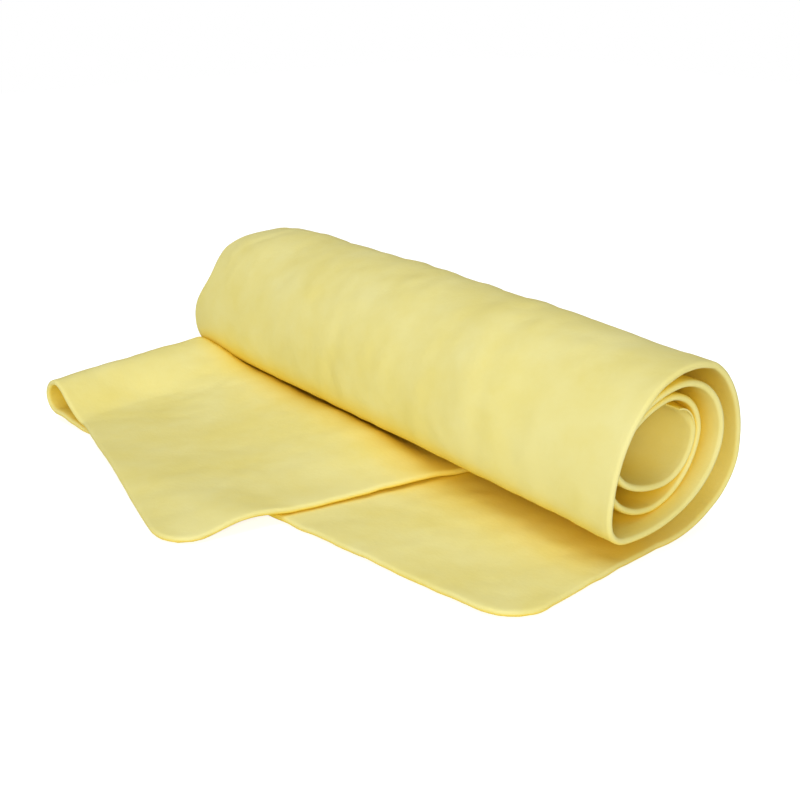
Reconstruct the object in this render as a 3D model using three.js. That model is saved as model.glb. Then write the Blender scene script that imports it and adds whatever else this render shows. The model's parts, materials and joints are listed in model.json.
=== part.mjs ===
// A synthetic chamois cloth: one sheet folded once along its length and rolled from one end.
// Millimetres, +Z up. While it is built, +X runs along the roll to its open end, +Y away from the
// tail, and y = 0 is the line where the roll leaves the floor. The last lines move the origin to
// the middle of the footprint.
import * as THREE from 'three';

// Sheet
const SHEET_T = 2.4;
const LAYER_GAP = 0.3;
const DOUBLE_T = 2 * SHEET_T + LAYER_GAP;
const LOWER_WIDTH = 260;
const UPPER_WIDTH = 180;
const CORNER_R = 16.5;
const CORNER_STEPS = 6;
const EDGE_CHAMFER = 0.6;
const BIGHT_STEPS = 6;
const HALF_GAP = 0.15;

// Roll: outer surface at its lowest, right, highest and left points, from the floor inward
const ROLL_EXTREMES = [
  [0, 0], [38.2, 28], [6.5, 68.6], [-32.3, 25],
  [-18.6, 9.5], [27.4, 35], [5.5, 60.8], [-23.6, 29.5],
  [-9.5, 17], [19.4, 35], [3, 53.2], [-16, 32.5],
  [-6, 24.5], [12, 37], [3.5, 46],
];
const UNROLL_START_Y = 8;
const ROOT_SETBACK = 1.1;
const ROOT_END_Y = UNROLL_START_Y - ROOT_SETBACK;
const OUTER_PANELS = [3, 3, 3, 2];
const CORE_STEPS = 6;
const CORE_STRETCHES = [
  'second_turn_front', 'second_turn_back', 'third_turn_front', 'third_turn_back', 'inner_end',
];
const EDGE_DRIFT = 7.6;
const EDGE_DRIFT_LENGTH = 370;

// Tail, seen from above: w runs from the front edge to the fold and t outward along the tail
const TAIL_SKEW = THREE.MathUtils.degToRad(8.7);
const TAIL_START_X = 0.7;
const TAIL_LENGTH = 76;
const FRONT_CORNER_LINE = [[0, 40], [48, TAIL_LENGTH]];

// Fold: a raised loop that flattens under the roll
const LOOP_HEIGHT = 14.5;
const LOOP_DEPTH = 28;
const BIGHT_DEPTH = 9.4;
const LOOP_RISE_FROM = 0.18;
const LOOP_FULL_AT = 0.45;
const LOOP_STATIONS = 10;
const LOOP_ARC_STEPS = 8;
const LOOP_FALL_STEPS = 6;

// Upper layer's free corner, which hangs over the lower layer's end
const FLAP_HINGE = [[95.8, 41.5], [231.4, TAIL_LENGTH - 0.4]];
const FLAP_CORNER = [118.7, 119.8];
const FLAP_TIP_INSET = 1.5;
const FLAP_END_INSET = 0.4;
const FLAP_STEP_START = TAIL_LENGTH + 0.5;
const FLAP_STEP_LENGTH = 13;
const FLAP_STEP_STATIONS = 5;
const FLAP_END_STATIONS = 8;

const CLOTH_COLOUR = 0xe6da86;
const CLOTH_ROUGHNESS = 0.95;
const cloth = new THREE.Group();

function addPiece(name, geometry) {
  const finish = { color: CLOTH_COLOUR, roughness: CLOTH_ROUGHNESS, metalness: 0 };
  const material = new THREE.MeshStandardMaterial(finish);
  const mesh = new THREE.Mesh(geometry, material);
  mesh.name = name;
  cloth.add(mesh);
  return mesh;
}

function smoothstep(value) {
  const x = THREE.MathUtils.clamp(value, 0, 1);
  return x * x * (3 - 2 * x);
}

function mix(a, b, share) {
  return a + (b - a) * share;
}

// Closed body through rings of equal point counts; outline is the flat form of the end faces
function loft(rings, outline) {
  const count = rings[0].length;
  const positions = rings.flat().flatMap((point) => point.toArray());
  const indices = [];
  for (let r = 0; r + 1 < rings.length; r += 1) {
    for (let i = 0; i < count; i += 1) {
      const next = (i + 1) % count;
      const a = r * count + i;
      const b = r * count + next;
      indices.push(a, b, b + count, a, b + count, a + count);
    }
  }
  const lastRing = (rings.length - 1) * count;
  const flat = outline.map(([x, y]) => new THREE.Vector2(x, y));
  for (const [a, b, c] of THREE.ShapeUtils.triangulateShape(flat, [])) {
    indices.push(a, c, b, lastRing + a, lastRing + b, lastRing + c);
  }
  const geometry = new THREE.BufferGeometry();
  geometry.setAttribute('position', new THREE.Float32BufferAttribute(positions, 3));
  geometry.setIndex(signedVolume(positions, indices) < 0 ? indices.reverse() : indices);
  geometry.computeVertexNormals();
  return geometry;
}

function signedVolume(positions, indices) {
  const corner = (i) => new THREE.Vector3().fromArray(positions, 3 * indices[i]);
  let volume = 0;
  for (let i = 0; i < indices.length; i += 3) {
    volume += corner(i).dot(corner(i + 1).cross(corner(i + 2))) / 6;
  }
  return volume;
}

// Soft edge of one layer, going up from its underside at bottom to its top
function layerEdge(x, bottom, direction = 1) {
  const inset = x - direction * EDGE_CHAMFER;
  const top = bottom + SHEET_T;
  return [[inset, bottom], [x, bottom + EDGE_CHAMFER], [x, top - EDGE_CHAMFER], [inset, top]];
}

// Cross-section of the folded double sheet, as (x, height above the outer surface)
function hairpin(front) {
  const fold = front - LOWER_WIDTH;
  const bend = fold + DOUBLE_T / 2;
  const bight = [];
  for (let i = 0; i <= BIGHT_STEPS; i += 1) {
    const angle = Math.PI * (0.5 + i / BIGHT_STEPS);
    bight.push([bend + DOUBLE_T / 2 * Math.cos(angle), DOUBLE_T / 2 * (1 + Math.sin(angle))]);
  }
  return [
    ...layerEdge(front, 0),
    [bend, SHEET_T],
    [bend - LAYER_GAP / 2, DOUBLE_T / 2],
    [bend, SHEET_T + LAYER_GAP],
    ...layerEdge(fold + UPPER_WIDTH, SHEET_T + LAYER_GAP),
    ...bight,
  ];
}

// Sideways drift of the front edge along the cloth, where the turns don't stack squarely
function frontEdge(along) {
  return EDGE_DRIFT * Math.sin(Math.PI * along / EDGE_DRIFT_LENGTH);
}

// Point on the outer surface of the roll, as (y, z): each quarter is a quarter ellipse
function rollPoint(quarter, share) {
  const [y0, z0] = ROLL_EXTREMES[quarter];
  const [y1, z1] = ROLL_EXTREMES[quarter + 1];
  const angle = share * Math.PI / 2;
  const rising = [Math.sin(angle), 1 - Math.cos(angle)];
  const [stepY, stepZ] = quarter % 2 === 0 ? rising : rising.reverse();
  return new THREE.Vector2(mix(y0, y1, stepY), mix(z0, z1, stepZ));
}

// Bending lines of the roll with the cloth's direction after each, and its length so far
function rollStations() {
  const stations = [{ point: new THREE.Vector2(UNROLL_START_Y, 0) }];
  for (let quarter = 0; quarter + 1 < ROLL_EXTREMES.length; quarter += 1) {
    const steps = OUTER_PANELS[quarter] ?? CORE_STEPS;
    for (let i = 1; i <= steps; i += 1) {
      stations.push({ point: rollPoint(quarter, i / steps) });
    }
  }
  let before = new THREE.Vector2(1, 0);
  let along = UNROLL_START_Y;
  stations.forEach((station, k) => {
    const next = stations[k + 1];
    const after = next ? next.point.clone().sub(station.point).normalize() : before;
    const normal = new THREE.Vector2(-after.y, after.x);
    const mitre = new THREE.Vector2(-before.y, before.x).add(normal).normalize();
    station.mitre = mitre.divideScalar(mitre.dot(normal));
    station.along = along;
    along += next ? next.point.distanceTo(station.point) : 0;
    before = after;
  });
  return stations;
}

// Stretch of the roll from one station to another, with half the gap left at both ends
function rollStretch(stations, first, last) {
  const rings = [];
  for (let k = first; k <= last; k += 1) {
    const { point, mitre, along } = stations[k];
    const towards = k === first ? stations[k + 1].point : stations[k - 1].point;
    const inset = k === first || k === last ? HALF_GAP : 0;
    const start = point.clone().add(towards.clone().sub(point).setLength(inset));
    rings.push(hairpin(frontEdge(along)).map(([x, height]) => (
      new THREE.Vector3(x, start.x + mitre.x * height, start.y + mitre.y * height))));
  }
  return loft(rings, hairpin(0));
}

function addRoll() {
  const stations = rollStations();
  const panelCount = OUTER_PANELS.reduce((sum, count) => sum + count, 0);
  for (let k = 0; k < panelCount; k += 1) {
    const number = String(k + 1).padStart(2, '0');
    addPiece(`outer_turn_${number}`, rollStretch(stations, k, k + 1));
  }
  const halfTurn = 2 * CORE_STEPS;
  CORE_STRETCHES.forEach((name, i) => {
    const first = panelCount + i * halfTurn;
    addPiece(name, rollStretch(stations, first, first + halfTurn));
  });
}

// Plan position of a point of the tail
function tailPlan(w, t) {
  const x = TAIL_START_X - w * Math.cos(TAIL_SKEW) + t * Math.sin(TAIL_SKEW);
  const y = -w * Math.sin(TAIL_SKEW) - t * Math.cos(TAIL_SKEW);
  return new THREE.Vector2(x, y);
}

// The fold at a share of its length, from the roll (0) to the tail's end (1)
function foldStation(share) {
  const open = smoothstep((share - LOOP_RISE_FROM) / (LOOP_FULL_AT - LOOP_RISE_FROM));
  const rollTip = new THREE.Vector2(frontEdge(ROOT_END_Y) - LOWER_WIDTH, ROOT_END_Y);
  const tip = rollTip.lerp(tailPlan(LOWER_WIDTH, TAIL_LENGTH), share);
  const skew = TAIL_SKEW * open;
  const depth = mix(BIGHT_DEPTH, LOOP_DEPTH, open);
  const inward = new THREE.Vector2(Math.cos(skew), Math.sin(skew));
  const contact = tip.clone().addScaledVector(inward, depth);
  return { tip, contact, depth, height: mix(DOUBLE_T, LOOP_HEIGHT, open) };
}

// Teardrop cross-section of the fold, as (distance from the contact line, height)
function loopSection({ depth, height }) {
  const radius = height / 2;
  const outer = [[0, 0]];
  const inner = [[0, SHEET_T]];
  for (let i = 0; i <= LOOP_ARC_STEPS; i += 1) {
    const angle = Math.PI * (i / LOOP_ARC_STEPS - 0.5);
    const [c, s] = [Math.cos(angle), Math.sin(angle)];
    outer.push([depth - radius + radius * c, radius * (1 + s)]);
    inner.push([depth - radius + (radius - SHEET_T) * c, radius + (radius - SHEET_T) * s]);
  }
  for (let i = 1; i <= LOOP_FALL_STEPS; i += 1) {
    const share = i / LOOP_FALL_STEPS;
    const run = (depth - radius) * (1 - share);
    const top = mix(height, DOUBLE_T, smoothstep(share));
    const slope = 6 * share * (1 - share) * (height - DOUBLE_T) / (depth - radius);
    const tilt = Math.hypot(1, slope);
    outer.push([run, top]);
    inner.push([run + SHEET_T * slope / tilt, top - SHEET_T / tilt]);
  }
  return [...outer, ...inner.reverse()];
}

function addFoldLoop() {
  const rings = [];
  for (let i = 0; i <= LOOP_STATIONS; i += 1) {
    const station = foldStation(i / LOOP_STATIONS);
    rings.push(loopSection(station).map(([out, z]) => {
      const plan = station.contact.clone().lerp(station.tip, out / station.depth);
      return new THREE.Vector3(plan.x, plan.y, z);
    }));
  }
  addPiece('fold_loop', loft(rings, loopSection(foldStation(1))));
}

// Flat stretch of one layer with soft edges, lying at the given height
function addLayer(name, points, bottom) {
  const geometry = new THREE.ExtrudeGeometry(new THREE.Shape(points), {
    depth: SHEET_T - 2 * EDGE_CHAMFER,
    bevelThickness: EDGE_CHAMFER,
    bevelSize: EDGE_CHAMFER,
    bevelOffset: -EDGE_CHAMFER,
    bevelSegments: 1,
  });
  addPiece(name, geometry).position.z = bottom + EDGE_CHAMFER;
}

// Contact line between flat layers and fold, from the tail's end to the roll
function contactLine() {
  const points = [];
  for (let i = LOOP_STATIONS; i >= 0; i -= 1) {
    const { contact } = foldStation(i / LOOP_STATIONS);
    points.push(contact.add(new THREE.Vector2(2 * HALF_GAP, 0)));
  }
  return points;
}

// Points of a line moved sideways, to its left, by a distance
function shifted([start, end], distance) {
  const side = end.clone().sub(start).normalize().rotateAround(new THREE.Vector2(), Math.PI / 2);
  return [start, end].map((point) => point.clone().addScaledVector(side, distance));
}

function addLowerLayer() {
  const line = FRONT_CORNER_LINE.map(([w, t]) => tailPlan(w, t));
  const front = new THREE.Vector2(frontEdge(ROOT_END_Y), ROOT_END_Y);
  addLayer('lower_layer', [front, tailPlan(0, 0), ...shifted(line, -HALF_GAP), ...contactLine()], 0);

  const arc = [];
  for (let i = 0; i <= CORNER_STEPS; i += 1) {
    const angle = Math.PI / 2 * i / CORNER_STEPS;
    const w = CORNER_R * (1 - Math.cos(angle));
    arc.push(tailPlan(w, TAIL_LENGTH - CORNER_R * (1 - Math.sin(angle))));
  }
  const [sideEnd, endEnd] = shifted(line, HALF_GAP);
  addLayer('front_corner', [sideEnd, ...arc, endEnd], 0);
}

function addUpperLayer() {
  const freeEdge = frontEdge(ROOT_END_Y) - LOWER_WIDTH + UPPER_WIDTH;
  const hinge = shifted(FLAP_HINGE.map(([w, t]) => tailPlan(w, t)), -HALF_GAP);
  const points = [new THREE.Vector2(freeEdge, ROOT_END_Y), ...hinge, ...contactLine().slice(1)];
  addLayer('upper_layer', points, SHEET_T + LAYER_GAP);
}

// Reach of the flap across the tail at a distance t along it, with its rounded corner
function flapReach(t) {
  const [sideW, sideT] = FLAP_HINGE[0];
  const [endW, endT] = FLAP_HINGE[1];
  const corner = new THREE.Vector2(...FLAP_CORNER);
  const toSide = new THREE.Vector2(sideW, sideT).sub(corner).normalize();
  const toEnd = new THREE.Vector2(endW, endT).sub(corner).normalize();
  const half = Math.acos(toSide.dot(toEnd)) / 2;
  const tangent = CORNER_R / Math.tan(half);
  const centre = toSide.clone().add(toEnd).setLength(CORNER_R / Math.sin(half)).add(corner);
  const chord = Math.sqrt(Math.max(0, CORNER_R ** 2 - (t - centre.y) ** 2));
  const alongSide = corner.x + toSide.x * (t - corner.y) / toSide.y;
  const alongEnd = corner.x + toEnd.x * (t - corner.y) / toEnd.y;
  const alongHinge = mix(sideW, endW, (t - sideT) / (endT - sideT)) - 2 * HALF_GAP / Math.sin(half);
  const low = t > corner.y + tangent * toSide.y ? centre.x - chord : alongSide;
  const outer = t > corner.y + tangent * toEnd.y ? centre.x + chord : alongEnd;
  return { low, high: t < endT ? alongHinge : outer, last: centre.y + CORNER_R };
}

function addCornerFlap() {
  const firstT = FLAP_HINGE[0][1] + FLAP_TIP_INSET;
  const hingeEndT = FLAP_HINGE[1][1] - HALF_GAP;
  const stations = [firstT, mix(firstT, hingeEndT, 0.5), hingeEndT, FLAP_STEP_START];
  for (let i = 1; i <= FLAP_STEP_STATIONS; i += 1) {
    stations.push(FLAP_STEP_START + FLAP_STEP_LENGTH * i / FLAP_STEP_STATIONS);
  }
  const stepEnd = stations.at(-1);
  const lastT = flapReach(stepEnd).last - FLAP_END_INSET;
  for (let i = 1; i <= FLAP_END_STATIONS; i += 1) {
    stations.push(mix(stepEnd, lastT, Math.sin(Math.PI / 2 * i / FLAP_END_STATIONS)));
  }
  const section = (low, high, bottom) => [
    ...layerEdge(high, bottom), ...layerEdge(low, bottom, -1).reverse()];
  const rings = stations.map((t) => {
    const { low, high } = flapReach(t);
    const drop = smoothstep((t - FLAP_STEP_START) / FLAP_STEP_LENGTH);
    return section(low, high, (SHEET_T + LAYER_GAP) * (1 - drop)).map(([w, z]) => {
      const plan = tailPlan(w, t);
      return new THREE.Vector3(plan.x, plan.y, z);
    });
  });
  addPiece('corner_flap', loft(rings, section(0, LOWER_WIDTH, 0)));
}

addLowerLayer();
addUpperLayer();
addFoldLoop();
addCornerFlap();
addRoll();

const box = new THREE.Box3().setFromObject(cloth, true);
const middle = box.getCenter(new THREE.Vector3());
cloth.position.set(-middle.x, -middle.y, -box.min.z);
cloth.updateMatrixWorld(true);

export default cloth;
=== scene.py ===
"""A synthetic chamois cloth, folded once along its length and rolled from one end, with a plain stage.

The cloth is one sheet. Its surface is worked out as one grid, with columns across the sheet from the
lower layer's front edge round the fold to the upper layer's free edge, and rows along the sheet from the
end of the tail to the middle of the roll. Each piece is a stretch of that grid, given its thickness.
"""

import json
import math

import bpy
import numpy as np
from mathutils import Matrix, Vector, noise


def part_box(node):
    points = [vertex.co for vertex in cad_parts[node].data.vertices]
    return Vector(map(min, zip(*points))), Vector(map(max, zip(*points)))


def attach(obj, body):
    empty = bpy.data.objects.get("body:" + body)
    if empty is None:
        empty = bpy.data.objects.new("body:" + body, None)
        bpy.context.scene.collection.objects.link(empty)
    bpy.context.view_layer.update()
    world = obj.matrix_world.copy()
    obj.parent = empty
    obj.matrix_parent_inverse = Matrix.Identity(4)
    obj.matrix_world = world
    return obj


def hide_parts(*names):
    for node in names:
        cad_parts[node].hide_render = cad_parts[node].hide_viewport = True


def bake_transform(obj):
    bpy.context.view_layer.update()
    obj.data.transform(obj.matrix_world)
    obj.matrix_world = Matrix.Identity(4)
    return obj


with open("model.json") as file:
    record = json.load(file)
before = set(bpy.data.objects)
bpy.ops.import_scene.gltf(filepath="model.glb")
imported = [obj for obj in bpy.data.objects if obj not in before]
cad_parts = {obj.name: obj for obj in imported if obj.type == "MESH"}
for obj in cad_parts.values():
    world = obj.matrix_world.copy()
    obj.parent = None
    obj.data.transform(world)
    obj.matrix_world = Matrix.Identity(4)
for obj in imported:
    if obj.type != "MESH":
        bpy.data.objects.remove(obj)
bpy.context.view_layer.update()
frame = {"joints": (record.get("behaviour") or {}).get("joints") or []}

bl_info = {
    "name": "Rolled Chamois Cloth",
    "version": (1, 0, 0),
    "blender": (4, 5, 0),
    "location": "View3D > Sidebar > Chamois",
    "description": "A synthetic chamois cloth, folded once and rolled from one end, with a plain stage",
    "category": "Add Mesh",
}

MM = 0.001

# The roll's outer surface at its lowest, right, highest and left points, from the floor inward, as
# millimetres away from the tail and above the floor: where both layers lie in it, and at its front
# end, where the lower layer lies alone and the turns are looser
ROLL_EXTREMES = (
    (0.0, 0.0), (38.2, 28.0), (6.5, 68.6), (-32.3, 25.0),
    (-18.6, 9.5), (26.8, 35.0), (5.2, 62.3), (-26.0, 31.5),
    (-9.0, 16.5), (20.6, 35.0), (2.0, 56.2), (-19.9, 35.0),
    (-6.8, 22.4), (13.4, 37.0), (3.5, 49.6),
)
FRONT_EXTREMES = (
    (0.0, 0.0), (39.6, 28.0), (6.5, 68.2), (-30.6, 25.0),
    (-15.0, 10.4), (25.4, 41.0), (5.0, 62.2), (-26.1, 34.0),
    (-4.0, 14.8), (19.6, 40.0), (3.0, 56.6), (-22.7, 37.0),
    (0.5, 22.8), (16.9, 40.0), (7.0, 51.8),
)

# Where the roll's front end starts, and over what length it is reached, in millimetres across the cloth
FRONT_END = (85.0, 45.0)

# Powers that make single quarters of a turn squarer (below 1) or flatter
ROLL_SHOULDERS = {6: 1.18, 8: 1.06, 10: 1.35}
FRONT_SHOULDERS = {1: 0.88, 3: 0.66, 6: 1.08, 8: 1.1, 10: 1.2}

# Stretches between bends in each quarter of the outer turn, and where the first bend and the inner turns
# start, in millimetres
OUTER_PANELS = (3, 3, 3, 2)
UNROLL_START = 8.0
CORE_LEAD = 8.0

# How far the roll's surface may stand out of its even form or sink into it, and the least gap between
# the roll and the tail below it, in millimetres
STAND_OUT = 0.7
SINK_IN = 0.3
TAIL_CLEARANCE = 0.9
HEADING_STEP = 0.4

# Sideways drift of the front edge along the roll, in millimetres
EDGE_DRIFT = 7.6
EDGE_DRIFT_LENGTH = 370.0
EDGE_LEAST = 1.3
EDGE_START = 2.6
EDGE_START_LENGTH = 26.0

# Wander of the fold at the roll's far end, as (length along the roll, shift), and how far the top of
# the roll stands above its even height, as (place from the front edge, rise), in millimetres
FOLD_WANDER = (
    (60.0, 0.0), (90.0, 3.0), (113.0, 6.0), (132.0, -4.5),
    (150.0, -3.5), (166.0, -9.0), (186.0, -6.5), (230.0, 0.0),
)
FOLD_WANDER_REACH = 60.0
ROLL_RISE = (
    (-262.0, -2.9), (-238.0, -0.6), (-205.0, -0.7), (-172.0, 0.7),
    (-125.0, 0.8), (-72.0, 0.3), (-48.0, -0.9), (0.0, -1.7),
)

# The tail, in millimetres: its end edge is askew, and the fold along its far side stands up in a loop
TAIL_SKEW = math.radians(8.7)
TAIL_START = 1.2
TAIL_LENGTH = 76.0
FOLD_LENGTH = 113.0
FREE_EDGE_LENGTH = 141.0
BIGHT_DEPTH = 9.4
LOOP_RISE = (0.10, 0.30)
LOOP_ROOT_DEPTH = 54.0
LOOP_TAPER = 0.45
LOOP_BULGE = 10.5
LOOP_BULGE_RISE = 0.2
LOOP_LIFT = 2.2
LOOP_FALL_STRETCH = 1.04
FREE_CORNER = (-98.5, -135.8)
FLAP_DROP = (90.0, 22.0)
FLAP_WAVE = 1.4
FLAP_WAVE_AT = (86.0, 16.0)
FLAP_WAVE_WIDTH = 60.0

# The hump of the upper layer against the roll's side, as (place from the front edge, height), and where
# it starts, is highest and ends, in millimetres
HUMP_HEIGHT = (
    (-262.0, 6.6), (-238.0, 6.8), (-206.0, 6.0), (-186.0, 4.8), (-170.0, 5.0),
    (-148.0, 6.0), (-122.0, 5.4), (-100.0, 2.5), (-84.0, 0.6),
)
HUMP_PLACES = (-78.0, -29.0, -14.0)

# Soft crumples, as their size across and along the cloth in millimetres, a number that picks their
# pattern, and their share of the height
ROLL_CRUMPLES = (((40.0, 34.0), 0.3, 1.0), ((11.0, 40.0), 7.7, 0.8), ((6.0, 7.5), 3.1, 0.45))
TAIL_CRUMPLES = (((30.0, 60.0), 0.3, 1.0), ((9.0, 44.0), 7.7, 0.7), ((6.0, 7.5), 3.1, 0.8))
TAIL_CRUMPLE_SHARE = 0.5
TAIL_CRUMPLE_EASE = 30.0
STREAK_TURN = math.radians(-22.0)

# Where the roll's crumples start and how long they take to grow, over what length they fade into the
# inner turns, and what share of them is left there, in millimetres
ROLL_CRUMPLE_START = 14.0
ROLL_CRUMPLE_EASE = 30.0
INNER_EASE = 40.0
INNER_CRUMPLE_SHARE = 0.18

# The front edge and the line on which the roll leaves the floor in the model's frame, in metres
BEND_MIDDLE = 122.0
FRONT_EDGE_X = frame["joints"][0]["pos_m"][0] + BEND_MIDDLE * MM
ROLL_LINE_Y = frame["joints"][0]["pos_m"][1] - UNROLL_START * MM

# Spacing of the grid, in millimetres
COLUMN_STEP = 2.6
BIGHT_STEP = 0.6
BIGHT_REACH = 4.0
FINE_REACH = 60.0
ROW_STEP = 1.7
TAIL_ROW_SHARE = ROW_STEP / 90.0
TAIL_RIM_LENGTH = 100.0
SEAM_STEP = 0.3
PATH_STEPS = 240
EDGE_STEPS = 5
SPLIT_COLUMN = 238.0

# Least share of the thickness at a free edge, and the sharpest angle that is shaded smooth
RIM_LEAST = 0.22
SMOOTH_ANGLE = math.radians(55.0)

# Where the bend of a lifted corner starts before its hinge and ends after it, in metres
FRONT_CORNER_BEND = (0.001, 0.009)
FLAP_BEND = (0.001, 0.010)

# How far the cloth is searched for shut in places, in metres, and the openness where their painted shade is
# full and where it ends: the colour is painted a deeper orange in creases, between the layers and inside the
# roll, standing in for light that bounces and passes through the cloth there
PAINTED_SHADE_REACH = 0.03
PAINTED_SHADE_RANGE = (0.05, 0.8)

# Soft lamps as name, place, aim, side and power
STUDIO_LAMPS = (
    ("key_lamp", (-0.08, -0.18, 1.25), (0.0, 0.0, 0.02), 1.0, 5.8),
    ("front_lamp", (1.22, -0.90, 0.52), (0.0, 0.0, 0.02), 0.7, 12.6),
)
FLOOR_SIDE = 2.4
FLOOR_LEVEL = -0.0002
SENSOR_WIDTH = 36.0
WHITE = (1.0, 1.0, 1.0, 1.0)


class ChamoisSize(bpy.types.PropertyGroup):
    """Sizes of the cloth."""

    thickness: bpy.props.FloatProperty(
        name="Thickness", description="Thickness of the sheet", default=0.0024, unit="LENGTH")
    layer_gap: bpy.props.FloatProperty(
        name="Layer gap", description="Gap between the two layers of the folded sheet",
        default=0.0003, unit="LENGTH")
    lower_width: bpy.props.FloatProperty(
        name="Lower width", description="Width of the lower layer, from front edge to fold",
        default=0.260, unit="LENGTH")
    upper_width: bpy.props.FloatProperty(
        name="Upper width", description="Width of the upper layer, from fold to free edge",
        default=0.176, unit="LENGTH")
    corner_radius: bpy.props.FloatProperty(
        name="Corner radius", description="Rounding of the sheet's corners", default=0.0165, unit="LENGTH")
    loop_height: bpy.props.FloatProperty(
        name="Loop height", description="Height of the open fold at the end of the tail",
        default=0.018, unit="LENGTH")
    loop_depth: bpy.props.FloatProperty(
        name="Loop depth", description="Reach of the open fold from where the layers touch",
        default=0.028, unit="LENGTH")
    crumple: bpy.props.FloatProperty(
        name="Crumple", description="Height of the soft crumples", default=0.0009, unit="LENGTH")


class ChamoisFinish(bpy.types.PropertyGroup):
    """Colours and surface of the cloth."""

    colour: bpy.props.FloatVectorProperty(
        name="Colour", description="Colour of the cloth", subtype="COLOR", size=3,
        default=(0.924, 0.820, 0.284), min=0, max=1)
    pale_colour: bpy.props.FloatVectorProperty(
        name="Pale colour", description="Colour of its paler patches", subtype="COLOR", size=3,
        default=(0.952, 0.872, 0.368), min=0, max=1)
    # Painted shade: the orange that the cloth's colour is turned to in shut-in places, standing in for light
    # bouncing and passing through the cloth
    painted_crevice_shade: bpy.props.FloatVectorProperty(
        name="Crevice colour", description="Colour that light takes on deep between the layers",
        subtype="COLOR", size=3, default=(0.98, 0.71, 0.035), min=0, max=1)
    roughness: bpy.props.FloatProperty(
        name="Roughness", description="Dullness of the surface", default=0.86, min=0, max=1,
        subtype="FACTOR")
    grain_depth: bpy.props.FloatProperty(
        name="Grain depth", description="Depth of the fine grain", default=0.00012, unit="LENGTH")


class ChamoisStage(bpy.types.PropertyGroup):
    """Floor, light and camera."""

    floor_colour: bpy.props.FloatVectorProperty(
        name="Floor", description="Colour of the floor", subtype="COLOR", size=3,
        default=(0.90, 0.90, 0.90), min=0, max=1)
    glow: bpy.props.FloatProperty(
        name="Glow", description="White that the camera sees on the floor besides its own shading",
        default=0.70, min=0, max=1, subtype="FACTOR")
    sky: bpy.props.FloatProperty(
        name="Sky", description="Strength of the even light from all round", default=0.26, min=0)
    lens: bpy.props.FloatProperty(
        name="Lens", description="Focal length of the camera in millimetres", default=58.5)
    camera_place: bpy.props.FloatVectorProperty(
        name="Camera", description="Place of the camera", subtype="TRANSLATION", size=3, unit="LENGTH",
        default=(FRONT_EDGE_X + 0.2660, ROLL_LINE_Y - 0.3127, 0.2026))
    azimuth: bpy.props.FloatProperty(
        name="Azimuth", description="Turn of the camera round the cloth",
        default=math.radians(52.58), subtype="ANGLE")
    elevation: bpy.props.FloatProperty(
        name="Elevation", description="Height of the camera's view above the horizon",
        default=math.radians(20.33), subtype="ANGLE")


def smoothstep(value):
    share = np.clip(value, 0.0, 1.0)
    return share * share * (3.0 - 2.0 * share)


def mix(a, b, share):
    return a + (b - a) * share


class Sheet:
    """The sizes in millimetres that the grid is worked out from."""

    def __init__(self, size):
        self.thick = size.thickness / MM
        self.double = 2.0 * self.thick + size.layer_gap / MM
        self.lower = size.lower_width / MM
        self.width = (size.lower_width + size.upper_width) / MM
        self.corner = size.corner_radius / MM
        self.loop_height = size.loop_height / MM
        self.loop_depth = size.loop_depth / MM
        self.crumple = size.crumple / MM


def spiral(extremes, shoulders):
    """Points of a roll's outer surface as (y, z), each quarter of a turn a quarter of an ellipse.

    Shoulders gives powers for single quarters: one below 1 makes its quarter squarer.
    """
    points = []
    for quarter, (a, b) in enumerate(zip(extremes, extremes[1:])):
        angle = np.linspace(0.0, math.pi / 2.0, PATH_STEPS, endpoint=False)
        power = shoulders.get(quarter, 1.0)
        rise, run = np.sin(angle) ** power, 1.0 - np.cos(angle) ** power
        step_y, step_z = (rise, run) if quarter % 2 == 0 else (run, rise)
        points.append(np.column_stack([mix(a[0], b[0], step_y), mix(a[1], b[1], step_z)]))
    return np.concatenate(points + [np.array([extremes[-1]])])


def roll_path():
    """Points of the roll's outer surface, with the length so far at each."""
    path = spiral(ROLL_EXTREMES, ROLL_SHOULDERS)
    along = np.concatenate([[0.0], np.cumsum(np.linalg.norm(np.diff(path, axis=0), axis=1))])
    return path, along


def bend_places(path, along):
    """Lengths along the roll at which its outer turn bends when it is unrolled."""
    places = [float(np.interp(UNROLL_START, path[:PATH_STEPS, 0], along[:PATH_STEPS]))]
    for quarter, panels in enumerate(OUTER_PANELS):
        for i in range(1, panels + 1):
            places.append(float(along[round((quarter + i / panels) * PATH_STEPS)]))
    return places


def roll_seams():
    """Lengths along the roll at which one piece ends and the next begins."""
    path, along = roll_path()
    bends = bend_places(path, along)
    middles = [(a + b) / 2.0 for a, b in zip(bends, bends[1:])]
    return [0.0] + middles + [bends[-1] + CORE_LEAD, float(along[-1])]


def spaced(start, end, step, near_start=0.0, near_end=0.0):
    """Even places from start up to but not including end, with an extra one close to each seam."""
    count = max(2, math.ceil((end - start) / step))
    places = list(np.linspace(start, end, count, endpoint=False))
    if near_start:
        places.insert(1, start + near_start)
    if near_end:
        places.append(end - near_end)
    return places


def edge_insets(thick):
    """Distances from a free edge of the sheet at which its rounded rim has points."""
    angles = np.linspace(0.0, math.pi / 2.0, EDGE_STEPS)
    return list(thick / 2.0 * (1.0 - np.cos(angles)))


def grid_columns(sheet):
    """Places across the sheet, from the front edge round the fold to the free edge."""
    rim = edge_insets(sheet.thick)
    fold = sheet.lower
    places = rim[:-1]
    places += spaced(rim[-1], SPLIT_COLUMN, COLUMN_STEP)
    places += spaced(SPLIT_COLUMN, fold - BIGHT_REACH, COLUMN_STEP / 2.0)
    places += spaced(fold - BIGHT_REACH, fold + BIGHT_REACH, BIGHT_STEP)
    places += spaced(fold + BIGHT_REACH, fold + FINE_REACH, COLUMN_STEP / 2.0)
    places += spaced(fold + FINE_REACH, sheet.width - rim[-1], COLUMN_STEP)
    places += [sheet.width - inset for inset in reversed(rim)]
    return np.array(places)


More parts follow.
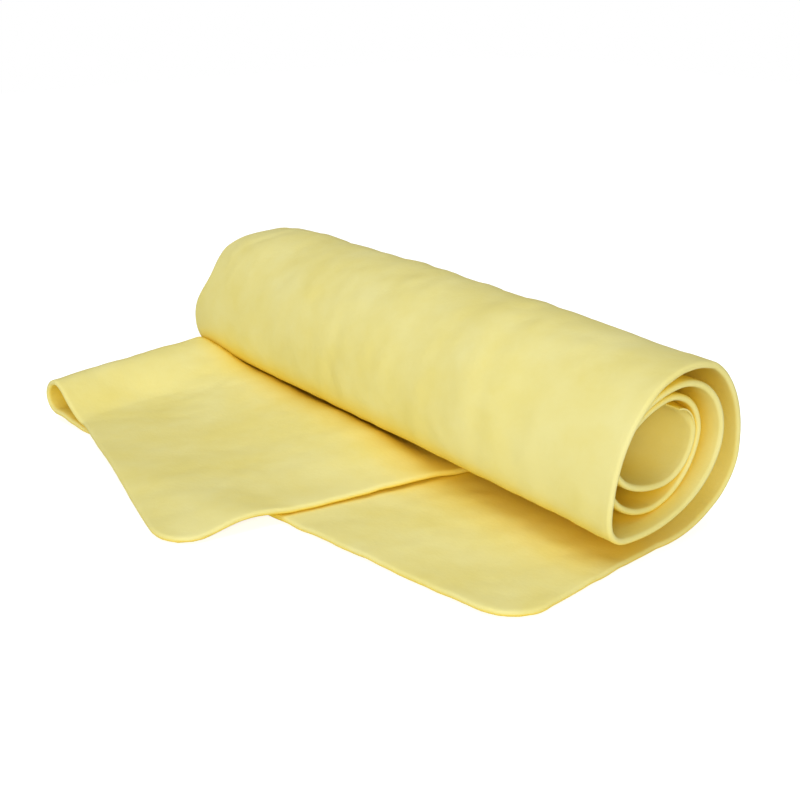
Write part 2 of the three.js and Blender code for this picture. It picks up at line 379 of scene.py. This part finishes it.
def grid_rows(sheet):
    """Shares along the tail from its end, and lengths along the roll, of the grid's rows."""
    rim = edge_insets(sheet.thick)
    tail = [inset / TAIL_RIM_LENGTH for inset in rim[:-1]]
    tail += spaced(rim[-1] / TAIL_RIM_LENGTH, 1.0, TAIL_ROW_SHARE)
    seams = roll_seams()
    roll = []
    for start, end in zip(seams[:-2], seams[1:-1]):
        roll += spaced(start, end, ROW_STEP, SEAM_STEP, SEAM_STEP)
    roll += spaced(seams[-2], seams[-1] - rim[-1], ROW_STEP, SEAM_STEP)
    roll += [seams[-1] - inset for inset in reversed(rim)]
    return np.array(tail), np.array(roll)


def crumples(across, along, kinds):
    """Soft crumples of the cloth, from about -2 to 2, at places in millimetres."""
    total = np.zeros(across.shape)
    for scale, pattern, share in kinds:
        places = zip((across / scale[0]).ravel(), (along / scale[1]).ravel())
        heights = [noise.noise((x, y, pattern)) for x, y in places]
        total = total + share * np.array(heights).reshape(across.shape)
    return total


def hairpin(sheet, columns):
    """Middle of the folded sheet as (x from the front edge, height above its outer surface)."""
    radius = (sheet.double - sheet.thick) / 2.0
    bend = sheet.lower - sheet.double / 2.0
    after = bend + math.pi * radius
    angle = np.clip((columns - bend) / radius, 0.0, math.pi)
    x = -np.minimum(columns, bend) - radius * np.sin(angle) + np.maximum(columns - after, 0.0)
    return x, sheet.thick / 2.0 + radius * (1.0 - np.cos(angle))


def front_edge(along):
    """Sideways place of the front edge at lengths along the roll."""
    start = EDGE_START * np.exp(-((along / EDGE_START_LENGTH) ** 2))
    drift = EDGE_DRIFT * np.sin(math.pi * along / EDGE_DRIFT_LENGTH)
    return start + np.where(along < EDGE_DRIFT_LENGTH / 2.0, drift, np.maximum(drift, EDGE_LEAST))


def at_places(table, places):
    """Values at places on a smooth curve through the pairs of a table."""
    knots, values = np.array(table).T
    slopes = np.gradient(values, knots)
    i = np.clip(np.searchsorted(knots, places) - 1, 0, len(knots) - 2)
    step = knots[i + 1] - knots[i]
    share = np.clip((places - knots[i]) / step, 0.0, 1.0)
    back = 1.0 - share
    bend = share * back * step * (back * slopes[i] - share * slopes[i + 1])
    return mix(values[i], values[i + 1], smoothstep(share)) + bend


def roll_middle(sheet, columns, rows):
    """Middle surface of the rolled part, a row for each length along it."""
    _, along = roll_path()
    x, height = hairpin(sheet, columns)
    across, length = np.meshgrid(x, rows)
    front = smoothstep((across + FRONT_END[0]) / FRONT_END[1])[..., None]

    def surface(lengths):
        ends = []
        for path in (spiral(ROLL_EXTREMES, ROLL_SHOULDERS), spiral(FRONT_EXTREMES, FRONT_SHOULDERS)):
            ends.append(np.stack([np.interp(lengths, along, path[:, i]) for i in range(2)], axis=-1))
        return mix(ends[0][:, None], ends[1][:, None], front), ends[0][:, None]

    centre, even = surface(rows)
    heading = surface(rows + HEADING_STEP)[0] - surface(rows - HEADING_STEP)[0]
    heading /= np.linalg.norm(heading, axis=-1)[..., None]
    inward = np.stack([-heading[..., 1], heading[..., 0]], axis=-1)
    outer_end = roll_seams()[-2]
    inside = smoothstep((length - outer_end + INNER_EASE) / INNER_EASE)
    ease = smoothstep((length - ROLL_CRUMPLE_START) / ROLL_CRUMPLE_EASE)
    ease = ease * mix(1.0, INNER_CRUMPLE_SHARE, inside)
    swell = sheet.crumple * ease * crumples(across, length, ROLL_CRUMPLES)
    stands_out = swell - np.sum((centre - even) * inward, axis=-1)
    swell = np.maximum(swell, -SINK_IN) - np.maximum(0.0, stands_out - STAND_OUT) * (1.0 - inside)
    place = centre + inward * (height - swell)[..., None]
    rise = at_places(ROLL_RISE, across) * place[..., 1] / ROLL_EXTREMES[2][1]
    near_fold = smoothstep(1.0 - np.abs(columns - sheet.lower) / FOLD_WANDER_REACH)
    shift = front_edge(rows)[:, None] + at_places(FOLD_WANDER, rows)[:, None] * near_fold
    return np.stack([across + shift, place[..., 0], place[..., 1] + rise], axis=-1)


def tail_plan(w, t):
    """Place on the floor of a point w from the tail's front edge and t out along it."""
    c, s = math.cos(TAIL_SKEW), math.sin(TAIL_SKEW)
    return np.array([TAIL_START - w * c + t * s, -w * s - t * c])


def beyond_roll(x, y):
    """Distance out along the tail of a place on the floor."""
    return (x - TAIL_START) * math.sin(TAIL_SKEW) - y * math.cos(TAIL_SKEW)


def hump(x, y):
    """Rise of the upper layer where it leans against the side of the roll."""
    start, top, end = HUMP_PLACES
    rise = smoothstep((y - start) / (top - start)) * smoothstep((end - y) / (end - top))
    return at_places(HUMP_HEIGHT, x) * rise


def under_roll(y):
    """Height of the outer turn's underside, where it curves back over the tail."""
    (side_y, side_z), (low_y, low_z) = ROLL_EXTREMES[3:5]
    share = np.clip((low_y - y) / (low_y - side_y), 0.0, 1.0)
    return side_z - (side_z - low_z) * np.sqrt(1.0 - share**2)


def loop_section(sheet, share, depth, height, end):
    """Middle of the open fold at a share of its way round, as (distance out, height).

    The upper layer's top goes down to the height end where it leaves the fold.
    """
    half = sheet.thick / 2.0
    lift = LOOP_LIFT * np.clip((height - sheet.double) / (sheet.loop_height - sheet.double), 0.0, 1.0)
    radius = (height - lift) / 2.0
    floor = depth - radius
    turn = math.pi * (radius - half)
    fall = LOOP_FALL_STRETCH * np.hypot(floor, height - end)
    place = share * (floor + turn + fall)
    angle = np.clip((place - floor) / (radius - half), 0.0, math.pi) - math.pi / 2.0
    up = np.clip(place / floor, 0.0, 1.0)
    down = np.clip((place - floor - turn) / fall, 0.0, 1.0)
    out = np.minimum(place, floor) + (radius - half) * np.cos(angle)
    out = np.where(down > 0.0, floor * (1.0 - down), out)
    left = (1.0 - down) ** 2
    top = mix(end, height, left * (2.0 - left)) - half
    level = lift * smoothstep(up) + radius + (radius - half) * np.sin(angle)
    bottom = lift * smoothstep(up) + half
    level = np.where(up < 1.0, bottom, level)
    return out, np.where(down > 0.0, top, level)


def tail_middle(sheet, columns, shares):
    """Middle surface of the tail, a row for each share of the way from its end to the roll.

    With it goes each point's distance from the tail's end.
    """
    side = np.minimum(columns, sheet.width - columns)
    into_corner = np.maximum(0.0, sheet.corner - side)
    cut = sheet.corner - np.sqrt(np.maximum(0.0, sheet.corner**2 - into_corner**2))
    lengths = [TAIL_LENGTH, FOLD_LENGTH, FREE_EDGE_LENGTH]
    reach = np.interp(columns, [0.0, sheet.lower, sheet.width], lengths)
    share = cut / reach + (1.0 - cut / reach) * shares[:, None]
    column = np.broadcast_to(columns, share.shape)

    opened = smoothstep((1.0 - share - LOOP_RISE[0]) / (LOOP_RISE[1] - LOOP_RISE[0]))
    root_x, _ = hairpin(sheet, np.array([sheet.width]))
    root = np.array([EDGE_START, 0.0])
    front = mix(tail_plan(0.0, TAIL_LENGTH), root, share[..., None])
    tip = mix(tail_plan(sheet.lower, TAIL_LENGTH), root - (sheet.lower, 0.0), share[..., None])
    tip[..., 0] -= LOOP_BULGE * share * smoothstep((1.0 - share) / LOOP_BULGE_RISE)
    free = mix(np.array(FREE_CORNER), root + (root_x[0], 0.0), share[..., None])
    taper = smoothstep((1.0 - share - LOOP_RISE[1]) / LOOP_TAPER)
    depth = mix(BIGHT_DEPTH, mix(LOOP_ROOT_DEPTH, sheet.loop_depth, taper), opened)
    height = mix(sheet.double, sheet.loop_height, opened)
    turn = TAIL_SKEW * opened
    contact = tip + np.stack([np.cos(turn), np.sin(turn)], axis=-1) * depth[..., None]

    lower_end = np.linalg.norm(contact - front, axis=-1)
    upper_start = sheet.width - np.linalg.norm(free - contact, axis=-1)
    round_share = np.clip((column - lower_end) / (upper_start - lower_end), 0.0, 1.0)
    rest = sheet.double + hump(contact[..., 0], contact[..., 1])
    out, level = loop_section(sheet, round_share, depth, np.maximum(height, rest), rest)
    lower = mix(front, contact, (column / lower_end)[..., None])
    upper = mix(contact, free, ((column - upper_start) / (sheet.width - upper_start))[..., None])
    fold = mix(contact, tip, (out / depth)[..., None])
    on_lower, on_upper = column <= lower_end, column >= upper_start
    plan = np.where(on_lower[..., None], lower, np.where(on_upper[..., None], upper, fold))

    half = sheet.thick / 2.0
    beyond = beyond_roll(upper[..., 0], upper[..., 1])
    drop = smoothstep((beyond - FLAP_DROP[0]) / FLAP_DROP[1])
    wave = 1.0 - smoothstep(np.abs(beyond - FLAP_WAVE_AT[0]) / FLAP_WAVE_AT[1])
    near_side = smoothstep(1.0 - (sheet.width - column) / FLAP_WAVE_WIDTH)
    flat_upper = mix(sheet.double - half, half, drop) + FLAP_WAVE * wave * near_side
    flat_upper = flat_upper + hump(upper[..., 0], upper[..., 1])
    level = np.where(on_lower, half, np.where(on_upper, flat_upper, level))
    c, s = math.cos(STREAK_TURN), math.sin(STREAK_TURN)
    across = plan[..., 0] * c + plan[..., 1] * s
    along = plan[..., 1] * c - plan[..., 0] * s
    lift = np.maximum(0.0, 1.0 + crumples(across, along, TAIL_CRUMPLES))
    ease = smoothstep(-plan[..., 1] / TAIL_CRUMPLE_EASE)
    level = level + TAIL_CRUMPLE_SHARE * sheet.crumple * ease * lift
    level = np.minimum(level, under_roll(plan[..., 1]) - half - TAIL_CLEARANCE)
    inset = share * reach
    return np.concatenate([plan, level[..., None]], axis=-1), inset


def half_thickness(sheet, side, inset):
    """Half the sheet's thickness at distances from its side edge and from its end, with rounded rims."""
    corner = sheet.corner
    past = np.hypot(np.maximum(0.0, corner - side), np.maximum(0.0, corner - inset))
    distance = np.where((side < corner) & (inset < corner), corner - past, np.minimum(side, inset))
    half = sheet.thick / 2.0
    rest = 1.0 - np.clip(distance / half, 0.0, 1.0)
    return half * np.maximum(RIM_LEAST, np.sqrt(1.0 - rest**2))


def cloth_grid(size):
    """Both faces of the whole cloth, in metres in the model's frame.

    With them go its columns, the number of the tail's rows and the lengths along the roll of the others.
    """
    sheet = Sheet(size)
    columns = grid_columns(sheet)
    tail, roll = grid_rows(sheet)
    tail_points, tail_inset = tail_middle(sheet, columns, tail)
    middle = np.concatenate([tail_points, roll_middle(sheet, columns, roll)])
    roll_inset = np.broadcast_to((roll[-1] - roll)[:, None], (len(roll), len(columns)))
    inset = np.concatenate([tail_inset, roll_inset])
    side = np.broadcast_to(np.minimum(columns, sheet.width - columns), inset.shape)
    half = half_thickness(sheet, side, inset)[..., None]
    normal = np.cross(np.gradient(middle, axis=1), np.gradient(middle, axis=0))
    normal /= np.linalg.norm(normal, axis=-1)[..., None]
    shift = np.array([FRONT_EDGE_X, ROLL_LINE_Y, 0.0])
    outer = (middle + normal * half) * MM + shift
    inner = (middle - normal * half) * MM + shift
    for face in (outer, inner):
        face[..., 2] = np.maximum(face[..., 2], 0.0)
    return outer, inner, columns, len(tail), roll


def sheet_faces(rows, columns):
    """Quads of a closed sheet whose outer face's points come before its inner face's."""
    outer = np.arange(rows * columns).reshape(rows, columns)
    inner = outer + rows * columns
    a, b, c, d = outer[:-1, :-1], outer[:-1, 1:], outer[1:, 1:], outer[1:, :-1]
    e, f, g, h = inner[:-1, :-1], inner[:-1, 1:], inner[1:, 1:], inner[1:, :-1]
    quads = [(a, b, c, d), (e, h, g, f)]
    quads.append((outer[0, 1:], outer[0, :-1], inner[0, :-1], inner[0, 1:]))
    quads.append((outer[-1, :-1], outer[-1, 1:], inner[-1, 1:], inner[-1, :-1]))
    quads.append((outer[:-1, 0], outer[1:, 0], inner[1:, 0], inner[:-1, 0]))
    quads.append((outer[1:, -1], outer[:-1, -1], inner[:-1, -1], inner[1:, -1]))
    return np.concatenate([np.stack([corner.ravel() for corner in quad], axis=1) for quad in quads])


def cloth_piece(name, outer, inner):
    """Closed stretch of the cloth between its two faces."""
    rows, columns, _ = outer.shape
    points = np.concatenate([outer.reshape(-1, 3), inner.reshape(-1, 3)])
    mesh = bpy.data.meshes.new(name)
    mesh.from_pydata(points.tolist(), [], sheet_faces(rows, columns).tolist())
    mesh.validate()
    piece = bpy.data.objects.new(name, mesh)
    bpy.context.collection.objects.link(piece)
    bpy.ops.object.select_all(action="DESELECT")
    piece.select_set(True)
    bpy.context.view_layer.objects.active = piece
    bpy.ops.object.shade_smooth_by_angle(angle=SMOOTH_ANGLE)
    mesh.materials.append(cloth_material(bpy.context.scene.chamois_finish))
    return piece


def add_node(tree, kind, place, **settings):
    node = tree.nodes.new(kind)
    node.location = place
    for name, value in settings.items():
        setattr(node, name, value)
    return node


def cloth_material(finish):
    """Dull yellow cloth with paler patches, painted shade that turns its colour orange in crevices, and a
    fine soft grain.
    """
    found = bpy.data.materials.get("chamois_cloth")
    if found:
        return found
    material = bpy.data.materials.new("chamois_cloth")
    material.use_nodes = True
    tree = material.node_tree
    surface = tree.nodes["Principled BSDF"]
    surface.inputs["Roughness"].default_value = finish.roughness
    surface.inputs["Specular IOR Level"].default_value = 0.12
    place = add_node(tree, "ShaderNodeTexCoord", (-1200, 0))

    patches = add_node(tree, "ShaderNodeTexNoise", (-900, 250))
    patches.inputs["Scale"].default_value = 34.0
    patches.inputs["Detail"].default_value = 4.0
    patches.inputs["Roughness"].default_value = 0.6
    spread = add_node(tree, "ShaderNodeMapRange", (-680, 250))
    spread.inputs["From Min"].default_value = 0.35
    spread.inputs["From Max"].default_value = 0.65
    shade = add_node(tree, "ShaderNodeMix", (-420, 250), data_type="RGBA")
    shade.inputs["A"].default_value = (*finish.colour, 1.0)
    shade.inputs["B"].default_value = (*finish.pale_colour, 1.0)

    # Painted shade: where ambient occlusion finds the cloth shut in, its colour is mixed toward the orange
    # crevice shade
    painted_shade_openness = add_node(tree, "ShaderNodeAmbientOcclusion", (-420, 560), samples=12)
    painted_shade_openness.inputs["Distance"].default_value = PAINTED_SHADE_REACH
    depth = add_node(tree, "ShaderNodeMapRange", (-180, 560))
    depth.inputs["From Min"].default_value = PAINTED_SHADE_RANGE[0]
    depth.inputs["From Max"].default_value = PAINTED_SHADE_RANGE[1]
    painted_shade_mix = add_node(tree, "ShaderNodeMix", (-180, 250), data_type="RGBA")
    painted_shade_mix.inputs["A"].default_value = (*finish.painted_crevice_shade, 1.0)

    grain = add_node(tree, "ShaderNodeTexNoise", (-900, -150))
    grain.inputs["Scale"].default_value = 700.0
    grain.inputs["Detail"].default_value = 3.0
    pores = add_node(tree, "ShaderNodeTexVoronoi", (-900, -420))
    pores.inputs["Scale"].default_value = 520.0
    both = add_node(tree, "ShaderNodeMath", (-640, -260), operation="ADD")
    bump = add_node(tree, "ShaderNodeBump", (-400, -260))
    bump.inputs["Strength"].default_value = 0.35
    bump.inputs["Distance"].default_value = finish.grain_depth

    links = tree.links
    for texture in (patches, grain, pores):
        links.new(place.outputs["Object"], texture.inputs["Vector"])
    links.new(patches.outputs["Fac"], spread.inputs["Value"])
    links.new(spread.outputs["Result"], shade.inputs["Factor"])
    links.new(painted_shade_openness.outputs["AO"], depth.inputs["Value"])
    links.new(depth.outputs["Result"], painted_shade_mix.inputs["Factor"])
    links.new(shade.outputs["Result"], painted_shade_mix.inputs["B"])
    links.new(painted_shade_mix.outputs["Result"], surface.inputs["Base Color"])
    links.new(grain.outputs["Fac"], both.inputs[0])
    links.new(pores.outputs["Distance"], both.inputs[1])
    links.new(both.outputs["Value"], bump.inputs["Height"])
    links.new(bump.outputs["Normal"], surface.inputs["Normal"])
    return material


def lift_zone(joint_name, node, before, after):
    """Start and end of the bend between the base and a corner that lifts at a joint."""
    joint = next(j for j in frame["joints"] if j["name"] == joint_name)
    hinge = Vector(joint["pos_m"])
    low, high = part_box(node)
    across = Vector((-joint["axis"][1], joint["axis"][0], 0.0)).normalized()
    if across.dot((low + high) / 2.0 - hinge) < 0.0:
        across.negate()
    return hinge - across * before, hinge + across * after


class CHAMOIS_OT_lower_layer(bpy.types.Operator):
    """Lay the lower layer of the tail, and work out where its front corner would bend"""

    bl_idname = "chamois.lower_layer"
    bl_label = "Lower Layer"

    def execute(self, context):
        outer, inner, columns, tail_rows, _ = cloth_grid(context.scene.chamois_size)
        split = int(np.argmin(np.abs(columns - SPLIT_COLUMN)))
        rows, across = slice(0, tail_rows + 1), slice(0, split + 1)
        piece = cloth_piece("lower_layer_cloth", outer[rows, across], inner[rows, across])
        start, end = lift_zone("front_corner_lift", "front_corner", *FRONT_CORNER_BEND)
        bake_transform(piece)
        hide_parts("lower_layer", "front_corner")
        return {"FINISHED"}


class CHAMOIS_OT_upper_layer(bpy.types.Operator):
    """Lay the upper layer of the tail with the open fold, and work out where its free corner would bend"""

    bl_idname = "chamois.upper_layer"
    bl_label = "Upper Layer"

    def execute(self, context):
        outer, inner, columns, tail_rows, _ = cloth_grid(context.scene.chamois_size)
        split = int(np.argmin(np.abs(columns - SPLIT_COLUMN)))
        rows, across = slice(0, tail_rows + 1), slice(split, None)
        piece = cloth_piece("upper_layer_cloth", outer[rows, across], inner[rows, across])
        start, end = lift_zone("corner_flap_lift", "corner_flap", *FLAP_BEND)
        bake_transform(piece)
        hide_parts("upper_layer", "fold_loop", "corner_flap")
        return {"FINISHED"}


class CHAMOIS_OT_outer_turn(bpy.types.Operator):
    """Roll the outer turn, in stretches split halfway between the lines where it bends"""

    bl_idname = "chamois.outer_turn"
    bl_label = "Outer Turn"

    def execute(self, context):
        size = context.scene.chamois_size
        outer, inner, _, tail_rows, roll = cloth_grid(size)
        seams = roll_seams()
        bends = len(seams) - 2
        names = ["base"] + [f"outer_turn_{i:02d}" for i in range(1, bends)] + ["roll_core"]
        for i in range(bends):
            first = tail_rows + int(np.argmin(np.abs(roll - seams[i])))
            last = tail_rows + int(np.argmin(np.abs(roll - seams[i + 1])))
            rows = slice(first, last + 1)
            piece = cloth_piece(f"outer_turn_cloth_{i + 1:02d}", outer[rows], inner[rows])
            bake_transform(piece)
            if i > 0:
                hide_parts(names[i])
        return {"FINISHED"}


class CHAMOIS_OT_roll_core(bpy.types.Operator):
    """Roll the inner turns"""

    bl_idname = "chamois.roll_core"
    bl_label = "Inner Turns"

    def execute(self, context):
        size = context.scene.chamois_size
        outer, inner, _, tail_rows, roll = cloth_grid(size)
        seams = roll_seams()
        rows = slice(tail_rows + int(np.argmin(np.abs(roll - seams[-2]))), None)
        piece = cloth_piece("roll_core_cloth", outer[rows], inner[rows])
        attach(piece, "roll_core")
        nodes = ("second_turn_front", "second_turn_back", "third_turn_front", "third_turn_back", "inner_end")
        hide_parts(*nodes)
        return {"FINISHED"}


class CHAMOIS_OT_stage(bpy.types.Operator):
    """Set the floor, the light and the camera"""

    bl_idname = "chamois.stage"
    bl_label = "Stage"

    def execute(self, context):
        stage = context.scene.chamois_stage
        bpy.ops.object.select_all(action="DESELECT")
        bpy.ops.mesh.primitive_plane_add(size=FLOOR_SIDE, location=(0.0, 0.0, FLOOR_LEVEL))
        floor = context.active_object
        floor.name = "floor"
        floor.data.materials.append(floor_material(stage))
        light_world(context.scene, stage)
        for name, place, target, side, power in STUDIO_LAMPS:
            soft_lamp(name, place, target, side, power)
        bpy.ops.object.camera_add(location=stage.camera_place)
        camera = context.active_object
        camera.name = "camera"
        camera.data.lens = stage.lens
        camera.data.sensor_width = SENSOR_WIDTH
        camera.rotation_euler = (math.pi / 2.0 - stage.elevation, 0.0, stage.azimuth)
        context.scene.camera = camera
        context.scene.view_settings.view_transform = "Standard"
        return {"FINISHED"}


def soft_lamp(name, place, target, side, power):
    """Square lamp turned from its place to its target."""
    bpy.ops.object.light_add(type="AREA", location=place)
    lamp = bpy.context.active_object
    lamp.name = name
    lamp.data.size = side
    lamp.data.energy = power
    lamp.rotation_euler = (Vector(target) - Vector(place)).to_track_quat("-Z", "Y").to_euler()


def floor_material(stage):
    """Pale floor that the camera sees as white, with part of its own shading left."""
    material = bpy.data.materials.new("pale_floor")
    material.use_nodes = True
    tree = material.node_tree
    surface = tree.nodes["Principled BSDF"]
    surface.inputs["Base Color"].default_value = (*stage.floor_colour, 1.0)
    surface.inputs["Roughness"].default_value = 1.0
    surface.inputs["Specular IOR Level"].default_value = 0.0
    path = add_node(tree, "ShaderNodeLightPath", (-600, 300))
    share = add_node(tree, "ShaderNodeMath", (-300, 300), operation="MULTIPLY")
    share.inputs[1].default_value = stage.glow
    white = add_node(tree, "ShaderNodeEmission", (-100, 300))
    joined = add_node(tree, "ShaderNodeAddShader", (200, 200))
    links = tree.links
    links.new(path.outputs["Is Camera Ray"], share.inputs[0])
    links.new(share.outputs["Value"], white.inputs["Strength"])
    links.new(surface.outputs["BSDF"], joined.inputs[0])
    links.new(white.outputs["Emission"], joined.inputs[1])
    links.new(joined.outputs["Shader"], tree.nodes["Material Output"].inputs["Surface"])
    return material


def light_world(scene, stage):
    """Even light from all round, which the camera sees as white."""
    world = bpy.data.worlds.new("studio")
    scene.world = world
    world.use_nodes = True
    tree = world.node_tree
    light = tree.nodes["Background"]
    light.inputs["Strength"].default_value = stage.sky
    light.inputs["Color"].default_value = WHITE
    white = add_node(tree, "ShaderNodeBackground", (0, -200))
    white.inputs["Color"].default_value = WHITE
    path = add_node(tree, "ShaderNodeLightPath", (-300, 200))
    joined = add_node(tree, "ShaderNodeMixShader", (250, 100))
    links = tree.links
    links.new(path.outputs["Is Camera Ray"], joined.inputs["Fac"])
    links.new(light.outputs["Background"], joined.inputs[1])
    links.new(white.outputs["Background"], joined.inputs[2])
    links.new(joined.outputs["Shader"], tree.nodes["World Output"].inputs["Surface"])


class CHAMOIS_PT_panel(bpy.types.Panel):
    """Lists the cloth's pieces and the stage in the 3D view's sidebar"""

    bl_idname = "CHAMOIS_PT_panel"
    bl_label = "Rolled Chamois Cloth"
    bl_space_type = "VIEW_3D"
    bl_region_type = "UI"
    bl_category = "Chamois"

    def draw(self, context):
        for operator in OPERATORS:
            self.layout.operator(operator.bl_idname)
        for group in ("chamois_size", "chamois_finish", "chamois_stage"):
            settings = getattr(context.scene, group)
            box = self.layout.box()
            for name in settings.__annotations__:
                box.prop(settings, name)


OPERATORS = (
    CHAMOIS_OT_lower_layer,
    CHAMOIS_OT_upper_layer,
    CHAMOIS_OT_outer_turn,
    CHAMOIS_OT_roll_core,
    CHAMOIS_OT_stage,
)
GROUPS = {"chamois_size": ChamoisSize, "chamois_finish": ChamoisFinish, "chamois_stage": ChamoisStage}


def register():
    for cls in (*GROUPS.values(), *OPERATORS, CHAMOIS_PT_panel):
        bpy.utils.register_class(cls)
    for name, group in GROUPS.items():
        setattr(bpy.types.Scene, name, bpy.props.PointerProperty(type=group))


def unregister():
    for name in GROUPS:
        delattr(bpy.types.Scene, name)
    for cls in (CHAMOIS_PT_panel, *reversed(OPERATORS), *GROUPS.values()):
        bpy.utils.unregister_class(cls)


def main():
    register()
    bpy.ops.chamois.lower_layer()
    bpy.ops.chamois.upper_layer()
    bpy.ops.chamois.outer_turn()
    bpy.ops.chamois.roll_core()
    bpy.ops.chamois.stage()


if __name__ == "__main__":
    main()
